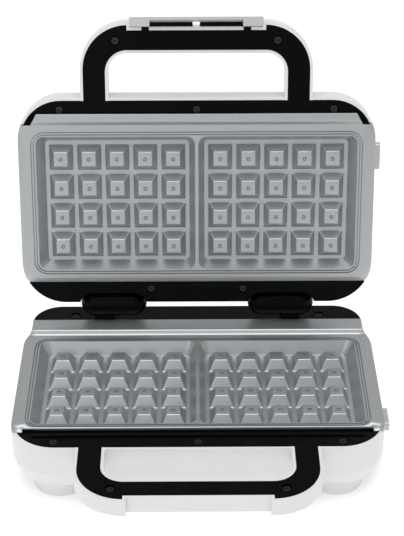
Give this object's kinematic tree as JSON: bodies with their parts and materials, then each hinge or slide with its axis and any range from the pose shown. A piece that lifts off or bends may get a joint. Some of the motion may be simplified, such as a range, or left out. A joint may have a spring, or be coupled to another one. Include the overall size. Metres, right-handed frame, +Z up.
{
  "type": "waffle maker",
  "caption": "Electric waffle maker for rectangular waffles, with hinged lid, latch, looped handles and removable waffle plates with release buttons, shown open",
  "frame": {"origin": "Middle of the footprint of the open machine, on the table under the rubber feet", "axes": "+X to the right as seen from the front, +Y towards the hinge and the back, +Z up"},
  "size_m": [0.3455, 0.3476, 0.3745],
  "materials": {
    "white_shell": "smooth satin white moulding",
    "black_trim": "black moulding, satin face and glossy front channel",
    "coated_plate": "cast aluminium with a light grey metallic non-stick coating",
    "bright_steel": "plain bright steel",
    "black_screw": "blackened steel",
    "element_sheath": "oxidised steel sheath",
    "button_grey": "silver-grey moulding",
    "latch_grey": "silver-grey moulding",
    "foot_rubber": "matt black rubber",
    "cover_grey": "matt dark moulding",
    "ceramic_body": "off-white ceramic",
    "terminal_white": "off-white moulding",
    "board_green": "green circuit board",
    "lamp_red": "clear red lens",
    "lamp_green": "clear green lens",
    "lead_sleeve": "silicone-sleeved wire"
  },
  "bodies": {
    "base": {"base_shell": "white_shell", "bottom_cover": "cover_grey", "rubber_feet": "foot_rubber", "base_frame": "black_trim", "hinge_pins": "bright_steel", "lower_plate": "coated_plate", "lower_element": "element_sheath", "lower_element_brackets": "bright_steel", "lower_reflector": "bright_steel", "lower_reflector_screws": "bright_steel", "lower_button_spring": "bright_steel", "base_frame_screws": "black_screw", "bottom_cover_screws": "black_screw", "thermostat": "ceramic_body", "thermal_fuse": "bright_steel", "terminal_block": "terminal_white", "cord_gland": "black_trim", "base_leads": "lead_sleeve"},
    "lid": {"lid_shell": "white_shell", "lid_frame": "black_trim", "upper_plate": "coated_plate", "upper_element": "element_sheath", "upper_element_brackets": "bright_steel", "upper_reflector": "bright_steel", "upper_reflector_screws": "bright_steel", "upper_button_spring": "bright_steel", "lid_frame_screws": "black_screw", "lamp_board": "board_green", "power_lamp": "lamp_red", "ready_lamp": "lamp_green", "lid_leads": "lead_sleeve", "latch_pins": "bright_steel", "latch_springs": "bright_steel"},
    "latch": {"latch": "latch_grey"},
    "upper_button": {"upper_release_button": "button_grey"},
    "lower_button": {"lower_release_button": "button_grey"}
  },
  "joints": [
    {"name": "lid_hinge", "type": "hinge", "parent": "base", "child": "lid", "pos_m": [0, 0.10755, 0.084], "axis": [1, 0, 0], "range_deg": [0, 103]},
    {"name": "latch_hinge", "type": "hinge", "parent": "lid", "child": "latch", "pos_m": [0, 0.15477, 0.35964], "axis": [-1, 0, 0], "range_deg": [-15, 30], "stiffness_Nm_per_rad": 0.08, "springref_deg": 1.72, "deforming": ["latch_springs"]},
    {"name": "upper_release", "type": "slide", "parent": "lid", "child": "upper_button", "axis": [-1, 0, 0], "range_m": [0, 0.003], "stiffness_N_per_m": 400, "springref_m": -0.001, "deforming": ["upper_button_spring"]},
    {"name": "lower_release", "type": "slide", "parent": "base", "child": "lower_button", "axis": [-1, 0, 0], "range_m": [0, 0.003], "stiffness_N_per_m": 400, "springref_m": -0.001, "deforming": ["lower_button_spring"]}
  ]
}
